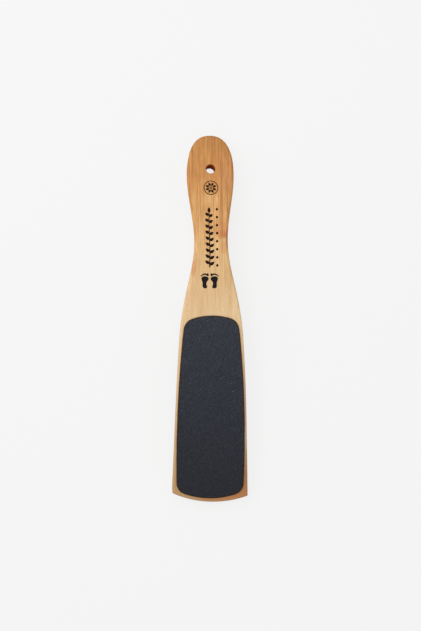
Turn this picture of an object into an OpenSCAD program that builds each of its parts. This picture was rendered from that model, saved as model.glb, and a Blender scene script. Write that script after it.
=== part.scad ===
// Wooden foot file: a gently bowed paddle with an abrasive sheet glued to each face
// and a hole through the head to hang it by. Millimetres.
// It lies on its hollow side. X runs across, Y along it towards the head, Z up, and the
// origin is on the surface that it rests on, under the middle of its length.
// Places along the paddle are given by u, the distance from the tip of the head along
// the curve, and heights by h, the distance from the middle of the wood's thickness.

/* [Paddle] */
// Length of the wood, measured along its curve
length = 265; // [215:1:330]
// Thickness of the wood
thickness = 10; // [7:0.5:14]
// Radius of the bow, at the middle of the wood's thickness
bow_radius = 600; // [450:10:1600]

/* [Outline] */
// Width of the head at its widest
head_w = 33.4; // [26:0.1:42]
// From the tip of the head to its widest place
head_reach = 29; // [20:0.5:40]
// Width of the neck at its narrowest
neck_w = 23.5; // [16:0.1:30]
// From the tip of the head to the neck
neck_from_tip = 77; // [60:0.5:92]
// Width half way up the flare, where it opens fastest
flare_w = 31.9; // [28:0.1:38]
// From the tip of the head to that place on the flare
flare_from_tip = 106; // [96:0.5:128]
// Width at the shoulder, where the flare turns into the blade
shoulder_w = 45.2; // [40:0.1:54]
// From the tip of the head to the shoulder
shoulder_from_tip = 147; // [132:0.5:175]
// Width of the blade at its end corners
blade_w = 54.4; // [44:0.1:66]
// Radius of the blade's curved end
end_arc_r = 69.5; // [50:0.5:120]
// How far the crown of the curved end lies to the right of the middle
end_skew = 3.2; // [0:0.1:4]
// Radius that rounds off the blade's two end corners
blade_corner_r = 0.8; // [0.3:0.1:5]

/* [Edges] */
// Rounding of the edges along the handle
handle_round = 2.2; // [1:0.1:3]
// Rounding of the edges around the blade
blade_round = 1; // [0.6:0.1:1.8]

/* [Hanging hole] */
// Diameter of the hanging hole
hole_d = 6.6; // [4:0.1:11]
// From the tip of the head to the middle of the hole
hole_from_tip = 25.6; // [16:0.1:34]
// Bevel around both mouths of the hole
hole_bevel = 0.5; // [0.2:0.1:1]

/* [Abrasive sheets] */
// How far the sheets reach from the shoulder towards the neck
sheet_rise = 16.5; // [6:0.5:24]
// From the blade's curved end to the lower end of the sheets
sheet_end_gap = 3.3; // [2.5:0.1:9]
// Bare flat wood beside a sheet where it comes nearest to the rounded edges
sheet_inset = 0.3; // [0.25:0.05:2]
// How far the sheets sit to the left of the middle
sheet_shift = 0.25; // [0:0.05:0.25]
// Extra bare wood beside the upper end of a sheet
sheet_top_inset = 1.4; // [0:0.1:3]
// Extra bare wood beside its lower end
sheet_end_inset = 2.1; // [0:0.1:3]
// Radius of the upper end of the sheets
sheet_top_r = 45.5; // [30:0.5:70]
// How far the crown of that end lies to the right of the sheet's own middle
sheet_top_skew = 0.5; // [0:0.1:2]
// Radius of the two corners beside it
sheet_top_corner_r = 7; // [4:0.5:12]
// Radius of the lower end of the sheets
sheet_end_r = 56; // [45:0.5:120]
// How far the crown of that end lies to the right of the sheet's own middle
sheet_end_skew = 1.1; // [0:0.1:2]
// Radius of the two corners beside it
sheet_end_corner_r = 8.5; // [4:0.5:15]
// Thickness of the double-sided adhesive film
film_t = 0.15; // [0.1:0.01:0.3]
// Thickness of the paper that carries the grit
backing_t = 0.35; // [0.2:0.01:0.7]
// Thickness of the coarse grit coat on the front
front_grit_t = 0.4; // [0.2:0.01:0.7]
// Thickness of the fine grit coat on the rear
rear_grit_t = 0.3; // [0.15:0.01:0.6]

/* [Hidden] */

// Clearance that the glued faces keep, so that two meshed curves never cross
glue_gap = 0.02;
// How far a cut runs past the face that it opens
cut_over = 1;

// Fullness of the head's end: 2 is an ellipse, more is squarer
head_fullness_share = 2.4;
// The flare's steepest slope, as a share of its mean slope up from the neck
flare_slope_share = 1.65;
// The side's slope at the end corners, as a share of the blade's mean slope
corner_slope_share = 0.9;

// Spacing of the sections along a long side
side_step = 5;
// Spacing of the sections round a curved end, and of those near its corners
arc_step = 1.5;
corner_step = 0.4;
// Spacing of the sections round the end of the head
head_step = 5.5;
// Half angle left flat at the crown of a curved end, and of the head's end
crown_angle = 0.8;
head_crown_angle = 2;
// Flats that round one edge
round_steps = 4;

corner_depth = end_arc_r - sqrt(pow(end_arc_r, 2) - pow(blade_w / 2, 2));
corner_u = length - corner_depth;
sheet_top_u = shoulder_from_tip - sheet_rise;
sheet_end_u = length - sheet_end_gap;
sheet_mid_u = (sheet_top_u + sheet_end_u) / 2;
sheet_half = (sheet_end_u - sheet_top_u) / 2;

// Wood outline

flare_slope = flare_slope_share * (flare_w - neck_w) / 2 / (flare_from_tip - neck_from_tip);
rise_slope = (shoulder_w - flare_w) / 2 / (shoulder_from_tip - flare_from_tip);
blade_slope = (blade_w - shoulder_w) / 2 / (corner_u - shoulder_from_tip);
shoulder_slope = rise_slope * blade_slope > 0
    ? 2 * rise_slope * blade_slope / (rise_slope + blade_slope) : 0;
corner_slope = corner_slope_share * blade_slope;

// The places that the long side passes through: [u, half width, slope]
side_knots = [
    [head_reach, head_w / 2, 0],
    [neck_from_tip, neck_w / 2, 0],
    [flare_from_tip, flare_w / 2, flare_slope],
    [shoulder_from_tip, shoulder_w / 2, shoulder_slope],
    [corner_u, blade_w / 2, corner_slope]
];

// Smooth curve from knot a to knot b at distance u
function between_knots(a, b, u) =
    let (run = b[0] - a[0], t = (u - a[0]) / run)
    a[1] * (2 * pow(t, 3) - 3 * pow(t, 2) + 1) + b[1] * (3 * pow(t, 2) - 2 * pow(t, 3))
    + run * (a[2] * (pow(t, 3) - 2 * pow(t, 2) + t) + b[2] * (pow(t, 3) - pow(t, 2)));

// Half width of the wood's long side, with no regard to the curved ends
function side(u, i = 0) =
    u > corner_u ? blade_w / 2 + corner_slope * (u - corner_u)
    : u <= side_knots[i + 1][0] ? between_knots(side_knots[i], side_knots[i + 1], u)
    : side(u, i + 1);

// Half chord of a circle of radius r at depth d inside it
function half_chord(r, d) = d >= r ? r : sqrt(d * (2 * r - d));

// Half width at depth d below the crown of a curved end of radius r, with its corner
// rounded to the radius c where it meets a side at half width w
function rounded_end(d, w, r, c) =
    let (rise = sqrt(pow(r - c, 2) - pow(w - c, 2)), corner_d = r - rise)
    d >= corner_d ? w
    : d > r - rise * r / (r - c) ? w - c + sqrt(pow(c, 2) - pow(corner_d - d, 2))
    : half_chord(r, d);

// Radius of the edge rounding at u: the handle's as far as the neck, the blade's from the shoulder
function round_at(u) =
    let (t = max(0, min(1, (u - neck_from_tip) / (shoulder_from_tip - neck_from_tip))))
    handle_round + (blade_round - handle_round) * pow(t, 2) * (3 - 2 * t);

// The wood's sections: [u, right half width, left half width] of the outline drawn in by
// inset, in which share is the part of the edge rounding that is taken off
function head_sections(share) =
    let (inset = handle_round * share, reach = head_reach - inset, half = head_w / 2 - inset)
    [for (a = [head_crown_angle:head_step:90 - head_step / 2])
        let (w = half * pow(1 - pow(cos(a), head_fullness_share), 1 / head_fullness_share))
        [inset + reach * (1 - cos(a)), w, w]];

// Angles of the sections round the curved end, from its crown: close together by the
// corners, which stand on both sides of the angle mid, and wider from there to the crown
corner_mid = asin(blade_w / 2 / end_arc_r);
corner_reach = (abs(end_skew) + blade_corner_r) / end_arc_r * 180 / PI + corner_step;
corner_count = ceil(2 * corner_reach / corner_step);
arc_count = ceil((corner_mid - corner_reach) / arc_step);
function end_angles(mid) = concat(
    [for (i = [0:corner_count]) mid + corner_reach * (1 - 2 * i / corner_count)],
    [for (i = [1:arc_count])
        (mid - corner_reach) * (1 - i / arc_count) + crown_angle * i / arc_count]);

side_run = length - end_arc_r * (1 - cos(corner_mid + corner_reach)) - head_reach;
side_count = ceil(side_run / side_step);

function side_sections(share) =
    [for (i = [0:side_count - 1])
        let (u = head_reach + side_run * i / side_count, w = side(u) - round_at(u) * share)
        [u, w, w]];

function end_sections(share) =
    let (inset = blade_round * share, r = end_arc_r - inset, c = max(0, blade_corner_r - inset))
    [for (a = end_angles(asin((blade_w / 2 - inset) / r)))
        let (d = r * (1 - cos(a)), u = length - inset - d, w = side(u) - inset)
        [u, rounded_end(d, w - end_skew, r, c) + end_skew,
            rounded_end(d, w + end_skew, r, c) - end_skew]];

function wood_sections(share) =
    concat(head_sections(share), side_sections(share), end_sections(share));

// Sheet outline

// Half width of a sheet's long side
function sheet_side(u) =
    let (t = (u - sheet_mid_u) / sheet_half, more = t < 0 ? sheet_top_inset : sheet_end_inset)
    side(u) - blade_round - sheet_inset - more * pow(t, 2);

// Depth below the crown of a sheet's end at which its corners have turned into its sides
function corner_foot(w, r, c) = r - sqrt(pow(r - c, 2) - pow(w - c, 2));
sheet_top_depth = corner_foot(sheet_side(sheet_top_u + sheet_top_corner_r) + sheet_top_skew,
    sheet_top_r, sheet_top_corner_r);
sheet_end_depth = corner_foot(sheet_side(sheet_end_u - sheet_end_corner_r) + sheet_end_skew,
    sheet_end_r, sheet_end_corner_r);

// Depths of the sections round an end of radius r, from its corners' feet to its crown
function end_depths(deep, r) =
    let (start = acos(1 - deep / r), count = ceil(start / arc_step))
    [for (i = [0:count]) r * (1 - cos(start * (1 - i / count) + crown_angle * i / count))];

top_depths = end_depths(sheet_top_depth, sheet_top_r);
sheet_start = sheet_top_u + sheet_top_depth;
sheet_run = sheet_end_u - sheet_end_depth - sheet_start;
sheet_count = ceil(sheet_run / side_step);

// The sheet's section at distance u, with its right and left half widths about its own middle
function shifted(u, right, left) = [u, right - sheet_shift, left + sheet_shift];

// The sheet's section at distance u, at depth d below the crown of the end that it is nearer to
function end_section(u, d, r, c, skew) =
    let (w = sheet_side(u))
    shifted(u, rounded_end(d, w - skew, r, c) + skew, rounded_end(d, w + skew, r, c) - skew);

sheet_sections = concat(
    [for (i = [len(top_depths) - 1:-1:0])
        end_section(sheet_top_u + top_depths[i], top_depths[i],
            sheet_top_r, sheet_top_corner_r, sheet_top_skew)],
    [for (i = [1:sheet_count - 1])
        let (u = sheet_start + sheet_run * i / sheet_count, w = sheet_side(u)) shifted(u, w, w)],
    [for (d = end_depths(sheet_end_depth, sheet_end_r))
        end_section(sheet_end_u - d, d, sheet_end_r, sheet_end_corner_r, sheet_end_skew)]);

// Solids

// Angle round the bow's centre at distance u from the tip of the head
function bow_angle(u) = (length / 2 - u) / bow_radius * 180 / PI;

// One closed loop, seen from above anticlockwise: up the right side and down the left.
// heights gives h at each section.
function loop_of(sections, heights) =
    let (last = len(sections) - 1)
    concat(
        [for (i = [last:-1:0]) [sections[i][1], sections[i][0], heights[i]]],
        [for (i = [0:last]) [-sections[i][2], sections[i][0], heights[i]]]);

function flat_loop(sections, h) = loop_of(sections, [for (s = sections) h]);

// Height of a point [x, u, h] above the bow's centre
function above_centre(p) = (bow_radius + p[2]) * cos(bow_angle(p[1]));

// The wood's loops from its rear face to its front face
round_angles = [for (i = [0:round_steps]) 90 * i / round_steps];
function wood_loop(angle, face) =
    let (sections = wood_sections(1 - sin(angle)), plan = wood_sections(0))
    loop_of(sections, [for (s = plan) face * (thickness / 2 - round_at(s[0]) * (1 - cos(angle)))]);
wood_loops = concat(
    [for (a = round_angles) wood_loop(a, -1)],
    [for (i = [round_steps:-1:0]) wood_loop(round_angles[i], 1)]);

rear_face_h = -thickness / 2 - glue_gap - film_t - backing_t - rear_grit_t;

// Height of the bow's centre, which puts the lowest point at zero
centre_z = -min([for (p = concat(wood_loops[0], wood_loops[1], wood_loops[2],
    flat_loop(sheet_sections, rear_face_h))) above_centre(p)]);

// The point [x, u, h] in its place on the bowed paddle
function bent(p) =
    [p[0], (bow_radius + p[2]) * sin(bow_angle(p[1])), centre_z + above_centre(p)];

// Solid between a stack of loops, from the lowest to the highest
module bent_solid(loops) {
    count = len(loops[0]);
    half = count / 2;
    top = (len(loops) - 1) * count;
    polyhedron(
        points = [for (loop = loops) for (p = loop) bent(p)],
        faces = concat(
            [for (k = [0:len(loops) - 2]) for (i = [0:count - 1])
                let (a = k * count + i, b = k * count + (i + 1) % count)
                for (face = [[a, a + count, b + count], [a, b + count, b]]) face],
            [for (i = [0:half - 2])
                let (r = i, l = count - 1 - i)
                for (face = [[r, l - 1, l], [r, r + 1, l - 1]]) face],
            [for (i = [0:half - 2])
                let (r = top + i, l = top + count - 1 - i)
                for (face = [[r, l, l - 1], [r, l - 1, r + 1]]) face]));
}

// Layer of a sheet between the heights low and high
module sheet_layer(low, high) {
    bent_solid([flat_loop(sheet_sections, low), flat_loop(sheet_sections, high)]);
}

// The hanging hole, square to the face that it is drilled through
module hanging_hole() {
    mid = bent([0, hole_from_tip, 0]);
    face = thickness / 2;
    translate(mid) rotate([-bow_angle(hole_from_tip), 0, 0]) {
        cylinder(d = hole_d, h = thickness + 2 * cut_over, center = true, $fn = 96);
        for (up = [0, 1]) mirror([0, 0, up])
            translate([0, 0, face - hole_bevel])
                cylinder(r1 = hole_d / 2, r2 = hole_d / 2 + hole_bevel + cut_over,
                    h = hole_bevel + cut_over, $fn = 96);
    }
}

module wooden_body() {
    color([0.87, 0.72, 0.53]) difference() {
        bent_solid(wood_loops);
        hanging_hole();
    }
}

front_film_h = thickness / 2 + glue_gap;
front_backing_h = front_film_h + film_t;
front_grit_h = front_backing_h + backing_t;
rear_film_h = -thickness / 2 - glue_gap;
rear_backing_h = rear_film_h - film_t;
rear_grit_h = rear_backing_h - backing_t;

module front_adhesive() {
    color([0.82, 0.76, 0.62]) sheet_layer(front_film_h, front_backing_h);
}

module front_backing() {
    color([0.25, 0.18, 0.14]) sheet_layer(front_backing_h, front_grit_h);
}

module front_grit() {
    color([0.2, 0.21, 0.23]) sheet_layer(front_grit_h, front_grit_h + front_grit_t);
}

module rear_adhesive() {
    color([0.82, 0.76, 0.62]) sheet_layer(rear_backing_h, rear_film_h);
}

module rear_backing() {
    color([0.25, 0.18, 0.14]) sheet_layer(rear_grit_h, rear_backing_h);
}

module rear_grit() {
    color([0.24, 0.25, 0.27]) sheet_layer(rear_face_h, rear_grit_h);
}

wooden_body();
front_adhesive();
front_backing();
front_grit();
rear_adhesive();
rear_backing();
rear_grit();
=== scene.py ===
"""Looks of a wooden foot file: a bowed hardwood paddle, an abrasive sheet glued to each face,
and small printed ornaments on the handle.

Metres, in the part's own frame: X across, Y along it towards the head, Z up. Places on the
paddle are given as u, the distance from the tip of the head along the curve, or as
s, the same distance counted from the middle and positive towards the head, and heights
as h, the distance from the middle of the wood's thickness.
"""
import math

import bpy
import bmesh
import numpy as np
from mathutils import Matrix, Vector, geometry
from mathutils.kdtree import KDTree


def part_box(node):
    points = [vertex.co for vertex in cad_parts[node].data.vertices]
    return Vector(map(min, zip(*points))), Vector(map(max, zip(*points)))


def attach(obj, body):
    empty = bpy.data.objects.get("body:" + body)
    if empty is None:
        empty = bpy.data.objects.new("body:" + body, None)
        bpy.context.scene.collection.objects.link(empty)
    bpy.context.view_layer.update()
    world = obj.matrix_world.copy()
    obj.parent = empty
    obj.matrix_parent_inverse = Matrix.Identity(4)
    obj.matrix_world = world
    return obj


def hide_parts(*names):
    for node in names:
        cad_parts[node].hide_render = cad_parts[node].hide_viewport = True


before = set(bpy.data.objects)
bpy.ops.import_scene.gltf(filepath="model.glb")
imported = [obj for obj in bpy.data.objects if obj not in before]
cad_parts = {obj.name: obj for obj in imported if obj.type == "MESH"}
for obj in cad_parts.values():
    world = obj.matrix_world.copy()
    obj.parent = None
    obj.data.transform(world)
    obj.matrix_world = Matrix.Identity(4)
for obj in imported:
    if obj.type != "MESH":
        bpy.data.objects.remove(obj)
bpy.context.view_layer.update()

MM = 0.001


def mm(values):
    """Metres from millimetres, one by one."""
    return tuple(v * MM for v in values)


# Sizes of the wood, as in the part's source
LENGTH = 265 * MM
THICKNESS = 10 * MM
BOW_RADIUS = 600 * MM
HEAD_W = 33.4 * MM
HEAD_REACH = 29 * MM
HEAD_FULLNESS = 2.4
NECK_W = 23.5 * MM
NECK_U = 77 * MM
FLARE_W = 31.9 * MM
FLARE_U = 106 * MM
FLARE_SLOPE_SHARE = 1.65
SHOULDER_W = 45.2 * MM
SHOULDER_U = 147 * MM
BLADE_W = 54.4 * MM
CORNER_SLOPE_SHARE = 0.9
END_R = 69.5 * MM
END_SKEW = 3.2 * MM
BLADE_CORNER_R = 0.8 * MM
HANDLE_ROUND = 2.2 * MM
BLADE_ROUND = 1 * MM
HOLE_D = 6.6 * MM
HOLE_U = 25.6 * MM
HOLE_RIM = 0.6 * MM

# Sizes of the sheets
SHEET_TOP_U = SHOULDER_U - 16.5 * MM
SHEET_END_U = LENGTH - 3.3 * MM
SHEET_INSET = 0.3 * MM
SHEET_SHIFT = 0.25 * MM
SHEET_TOP_INSET = 1.4 * MM
SHEET_END_INSET = 2.1 * MM
SHEET_TOP_R = 45.5 * MM
SHEET_TOP_SKEW = 0.5 * MM
SHEET_TOP_CORNER_R = 7 * MM
SHEET_END_R = 56 * MM
SHEET_END_SKEW = 1.1 * MM
SHEET_END_CORNER_R = 8.5 * MM
GLUE_GAP = 0.02 * MM
FILM_T = 0.15 * MM
BACKING_T = 0.35 * MM
FRONT_GRIT_T = 0.4 * MM
REAR_GRIT_T = 0.3 * MM

HALF_T = THICKNESS / 2
CENTRE_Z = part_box("wooden_body")[1].z - BOW_RADIUS - HALF_T


# Outline of the wood and of the sheets

def between_knots(a, b, u):
    """Smooth curve from knot a to knot b, each (u, half width, slope)."""
    run = b[0] - a[0]
    t = (u - a[0]) / run
    return (a[1] * (2 * t**3 - 3 * t**2 + 1) + b[1] * (3 * t**2 - 2 * t**3)
            + run * (a[2] * (t**3 - 2 * t**2 + t) + b[2] * (t**3 - t**2)))


CORNER_U = LENGTH - (END_R - math.sqrt(END_R**2 - (BLADE_W / 2) ** 2))
RISE_SLOPE = (SHOULDER_W - FLARE_W) / 2 / (SHOULDER_U - FLARE_U)
BLADE_SLOPE = (BLADE_W - SHOULDER_W) / 2 / (CORNER_U - SHOULDER_U)
SIDE_KNOTS = [
    (HEAD_REACH, HEAD_W / 2, 0),
    (NECK_U, NECK_W / 2, 0),
    (FLARE_U, FLARE_W / 2, FLARE_SLOPE_SHARE * (FLARE_W - NECK_W) / 2 / (FLARE_U - NECK_U)),
    (SHOULDER_U, SHOULDER_W / 2, 2 * RISE_SLOPE * BLADE_SLOPE / (RISE_SLOPE + BLADE_SLOPE)),
    (CORNER_U, BLADE_W / 2, CORNER_SLOPE_SHARE * BLADE_SLOPE),
]


def side(u):
    """Half width of the wood's long side, with no regard to the curved ends."""
    if u > CORNER_U:
        return BLADE_W / 2 + SIDE_KNOTS[-1][2] * (u - CORNER_U)
    for a, b in zip(SIDE_KNOTS, SIDE_KNOTS[1:]):
        if u <= b[0]:
            return between_knots(a, b, u)


def half_chord(r, d):
    """Half width of a circle of radius r at depth d below its crown, r below its middle."""
    return r if d >= r else math.sqrt(d * (2 * r - d))


def corner_foot(w, r, c):
    """Depth below the crown of an end, of half width w and radius r, at which its corner, of
    radius c, leaves the side."""
    return r - math.sqrt((r - c) ** 2 - (w - c) ** 2)


def rounded_end(d, w, r, c):
    """Half width at depth d below the crown of a curved end with rounded corners."""
    foot = corner_foot(w, r, c)
    if d >= foot:
        return w
    if c > 0 and d > r - (r - foot) * r / (r - c):
        return w - c + math.sqrt(max(0, c**2 - (foot - d) ** 2))
    return half_chord(r, d)


def smooth(t):
    """0 up to 0, 1 from 1 on, and an even S between."""
    t = max(0, min(1, t))
    return t * t * (3 - 2 * t)


def round_at(u):
    """Radius of the wood's edge rounding at u."""
    return HANDLE_ROUND + (BLADE_ROUND - HANDLE_ROUND) * smooth((u - NECK_U) / (SHOULDER_U - NECK_U))


# Where the wood's outline is cut into sections: angles in degrees round the head and round the
# blade's end, which is cut finely near its corners, and a step along the sides
HEAD_ANGLES = np.linspace(0.5, 88.5, 56)
END_FINE_ANGLE = 3.4
END_FINE_COUNT = 40
END_ANGLE_COUNT = 30
END_CROWN_ANGLE = 0.25
SIDE_STEP = 1.3 * MM


def wood_sections(share):
    """Rows of (u, right half width, left half width) of the outline drawn in by a share of the
    edge rounding, from the tip of the head to the blade's end."""
    rows = []
    inset = HANDLE_ROUND * share
    for a in np.radians(HEAD_ANGLES):
        full = (1 - math.cos(a) ** HEAD_FULLNESS) ** (1 / HEAD_FULLNESS)
        w = (HEAD_W / 2 - inset) * full
        rows.append((inset + (HEAD_REACH - inset) * (1 - math.cos(a)), w, w))
    inset = BLADE_ROUND * share
    r, c = END_R - inset, max(0, BLADE_CORNER_R - inset)
    mid = math.degrees(math.asin((BLADE_W / 2 - inset) / r))
    low = mid - END_FINE_ANGLE
    full_mid = math.degrees(math.asin(BLADE_W / 2 / END_R))
    stop = LENGTH - END_R * (1 - math.cos(math.radians(full_mid + END_FINE_ANGLE)))
    count = int((stop - HEAD_REACH) / SIDE_STEP)
    for i in range(count):
        u = HEAD_REACH + (stop - HEAD_REACH) * i / count
        w = side(u) - round_at(u) * share
        rows.append((u, w, w))
    angles = list(np.linspace(mid + END_FINE_ANGLE, low, END_FINE_COUNT))
    angles += list(np.linspace(low, END_CROWN_ANGLE, END_ANGLE_COUNT))[1:]
    for a in np.radians(angles):
        d = r * (1 - math.cos(a))
        u = LENGTH - inset - d
        w = side(u) - inset
        rows.append((u, rounded_end(d, w - END_SKEW, r, c) + END_SKEW,
                     rounded_end(d, w + END_SKEW, r, c) - END_SKEW))
    return rows


def sheet_side(u):
    """Half width of a sheet's long side."""
    t = (2 * u - SHEET_TOP_U - SHEET_END_U) / (SHEET_END_U - SHEET_TOP_U)
    more = SHEET_TOP_INSET if t < 0 else SHEET_END_INSET
    return side(u) - BLADE_ROUND - SHEET_INSET - more * t**2


# How close to the crown of a sheet's end its last section lies, as a share of the end's radius
CROWN_SHARE = 1e-6


def end_depths(w, r, c, step):
    """Depths of sections round a sheet's end, from its corners' feet almost to its crown."""
    start = math.acos(1 - corner_foot(w, r, c) / r)
    count = int(start * r / step)
    depths = [r * (1 - math.cos(start * (1 - i / count))) for i in range(count)]
    return depths + [r * CROWN_SHARE]


def shifted(u, right, left):
    """A sheet's section at u, with its right and left half widths about its own middle."""
    return u, right - SHEET_SHIFT, left + SHEET_SHIFT


def end_section(u, d, r, c, skew):
    """A sheet's section at u, at depth d below the crown of the end that it is nearer to."""
    w = sheet_side(u)
    return shifted(u, rounded_end(d, w - skew, r, c) + skew,
                   rounded_end(d, w + skew, r, c) - skew)


def sheet_sections(step):
    """Rows of (u, right half width, left half width) of a sheet, from its top to its end."""
    top_w = sheet_side(SHEET_TOP_U + SHEET_TOP_CORNER_R) + SHEET_TOP_SKEW
    tops = end_depths(top_w, SHEET_TOP_R, SHEET_TOP_CORNER_R, step)
    end_w = sheet_side(SHEET_END_U - SHEET_END_CORNER_R) + SHEET_END_SKEW
    ends = end_depths(end_w, SHEET_END_R, SHEET_END_CORNER_R, step)
    rows = [end_section(SHEET_TOP_U + d, d, SHEET_TOP_R, SHEET_TOP_CORNER_R, SHEET_TOP_SKEW)
            for d in reversed(tops)]
    start, stop = SHEET_TOP_U + tops[0], SHEET_END_U - ends[0]
    count = int((stop - start) / step)
    for i in range(1, count):
        u = start + (stop - start) * i / count
        rows.append(shifted(u, sheet_side(u), sheet_side(u)))
    rows += [end_section(SHEET_END_U - d, d, SHEET_END_R, SHEET_END_CORNER_R, SHEET_END_SKEW)
             for d in ends]
    return rows


# Meshes

def bent(x, u, h):
    """The place of a point of the flat paddle on the bowed one."""
    a = (LENGTH / 2 - u) / BOW_RADIUS
    return (x, (BOW_RADIUS + h) * math.sin(a), CENTRE_Z + (BOW_RADIUS + h) * math.cos(a))


def loop_of(sections, heights):
    """Points (x, u, h) up the right side of a set of sections and down the left."""
    right = [(r, u, h) for (u, r, _), h in zip(sections, heights)][::-1]
    left = [(-l, u, h) for (u, _, l), h in zip(sections, heights)]
    return right + left


def band(low, high, count):
    """Faces between two closed loops of as many points, which start at two places in a list."""
    return [(low + i, low + (i + 1) % count, high + (i + 1) % count, high + i) for i in range(count)]


def bands(loops, count):
    """Faces between each loop of points and the next, from the start of a list."""
    return [face for k in range(loops - 1) for face in band(k * count, (k + 1) * count, count)]


def cap(start, count):
    """Faces across a closed loop, whose points face each other in pairs from its two ends."""
    return [(start + i, start + count - 1 - i, start + count - 2 - i, start + i + 1)
            for i in range(count // 2 - 1)]


# Points that are closer than the first become one, and edges shorter than the second go
JOIN_REACH = 1e-6
SLIVER = 1e-7


def new_object(name, points, faces, materials):
    """A mesh object from points already in the part's frame, with points in one place joined
    and its faces turned outwards."""
    mesh = bpy.data.meshes.new(name)
    mesh.from_pydata(points, [], faces)
    bm = bmesh.new()
    bm.from_mesh(mesh)
    bmesh.ops.remove_doubles(bm, verts=bm.verts, dist=JOIN_REACH)
    bmesh.ops.dissolve_degenerate(bm, edges=bm.edges, dist=SLIVER)
    bmesh.ops.recalc_face_normals(bm, faces=bm.faces)
    bm.to_mesh(mesh)
    bm.free()
    for material in materials:
        mesh.materials.append(material)
    piece = bpy.data.objects.new(name, mesh)
    bpy.context.scene.collection.objects.link(piece)
    return piece


SHARP_ANGLE = 40


def smooth_shade(piece):
    """Smooth shading, led by the larger faces, with edges above an angle in degrees kept sharp."""
    piece.data.shade_smooth()
    piece.data.set_sharp_from_angle(angle=math.radians(SHARP_ANGLE))
    weighted = piece.modifiers.new("normals", "WEIGHTED_NORMAL")
    weighted.keep_sharp = True


FINISHES = ("lacquered", "drilled", "sanded")
# Bands of faces round each edge and up the sides, and columns of faces across
ROUND_STEPS = 8
SIDE_ROWS = 4
FACE_COLUMNS = 14
# Cosine of the tilt from the face past which the wood's edges and sides are sanded and matt
SANDED_TILT = math.cos(math.radians(50))


def wood_mesh(materials):
    """The wood without its hole: rounded bands between its two faces, and a grid on each face.
    The materials are one for each finish."""
    plan = wood_sections(0)
    rounds = [round_at(row[0]) for row in plan]

    def rounding(i, sign):
        a = math.pi / 2 * i / ROUND_STEPS
        heights = [sign * (HALF_T - r * (1 - math.cos(a))) for r in rounds]
        return loop_of(wood_sections(1 - math.sin(a)), heights)

    loops = [rounding(i, -1) for i in range(ROUND_STEPS + 1)]
    for i in range(1, SIDE_ROWS):
        loops.append(loop_of(plan, [(HALF_T - r) * (2 * i / SIDE_ROWS - 1) for r in rounds]))
    loops += [rounding(i, 1) for i in range(ROUND_STEPS, -1, -1)]
    count = len(loops[0])
    points = [bent(*p) for loop in loops for p in loop]
    faces = bands(len(loops), count)
    for h in (-HALF_T, HALF_T):
        rows = []
        # The rows at both tips have only two points, and one face joins each to the next row
        for i, (u, right, left) in enumerate(wood_sections(1)):
            columns = 1 if i in (0, len(plan) - 1) else FACE_COLUMNS
            rows.append(tuple(range(len(points), len(points) + columns + 1)))
            points += [bent(-left + (left + right) * j / columns, u, h) for j in range(columns + 1)]
        for a, b in zip(rows, rows[1:]):
            if len(a) == len(b):
                faces += [(a[j], a[j + 1], b[j + 1], b[j]) for j in range(FACE_COLUMNS)]
            else:
                faces.append(a + b[::-1])
    piece = new_object("wooden_paddle", points, faces, materials)
    for face in piece.data.polygons:
        upright = Vector((0, face.center.y, face.center.z - CENTRE_Z)).normalized()
        if abs(face.normal.dot(upright)) < SANDED_TILT:
            face.material_index = FINISHES.index("sanded")
    return piece


# Segments round the cutter, steps over each eased rim, the angle in degrees at which a rim ends,
# and how far the cutter goes on past the wood
HOLE_SEGMENTS = 96
RIM_STEPS = 7
RIM_STOP_ANGLE = 72
CUTTER_PAST = 2 * MM
# How far outside the hole's radius a face still counts as its straight wall
WALL_REACH = 0.05 * MM


def hole_cutter(materials):
    """A lathe shape that drills the hanging hole and eases both its rims."""

    def rim(a):
        """Radius and height of the eased rim at an angle from the wall."""
        return (HOLE_D / 2 + HOLE_RIM * (1 - math.cos(a)),
                HALF_T - HOLE_RIM + HOLE_RIM * math.sin(a))

    stop = math.radians(RIM_STOP_ANGLE)
    tip_r, tip_h = rim(stop)
    lead = (HALF_T - tip_h) + CUTTER_PAST
    profile = [(tip_r + lead * math.tan(stop), tip_h + lead)]
    profile += [rim(stop * i / RIM_STEPS) for i in range(RIM_STEPS, -1, -1)]
    profile += [(r, -h) for r, h in reversed(profile)]
    turn = Matrix.Rotation(-(LENGTH / 2 - HOLE_U) / BOW_RADIUS, 4, "X")
    place = Matrix.Translation(bent(0, HOLE_U, 0)) @ turn
    points = []
    for r, h in profile:
        for k in range(HOLE_SEGMENTS):
            a = 2 * math.pi * k / HOLE_SEGMENTS
            points.append(tuple(place @ Vector((r * math.cos(a), r * math.sin(a), h))))
    faces = bands(len(profile), HOLE_SEGMENTS)
    faces.append(tuple(range(HOLE_SEGMENTS)))
    faces.append(tuple(range((len(profile) - 1) * HOLE_SEGMENTS, len(profile) * HOLE_SEGMENTS)))
    cutter = new_object("hole_cutter", points, faces, materials)
    for face in cutter.data.polygons:
        out = (place.inverted() @ face.center).to_2d().length
        finish = "drilled" if out < HOLE_D / 2 + WALL_REACH else "lacquered"
        face.material_index = FINISHES.index(finish)
    return cutter


def cut_hole(piece):
    """Drills the hole in the paddle and leaves a plain mesh."""
    cutter = hole_cutter(list(piece.data.materials))
    cut = piece.modifiers.new("hole", "BOOLEAN")
    cut.operation = "DIFFERENCE"
    cut.solver = "EXACT"
    cut.object = cutter
    done = piece.evaluated_get(bpy.context.evaluated_depsgraph_get())
    made = bpy.data.meshes.new_from_object(done)
    piece.modifiers.clear()
    piece.data = made
    bpy.data.objects.remove(cutter)


LAYER_STEP = 0.8 * MM
# Points on each side over which the wander of a cut edge is evened out
EDGE_BLUR = 3


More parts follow.
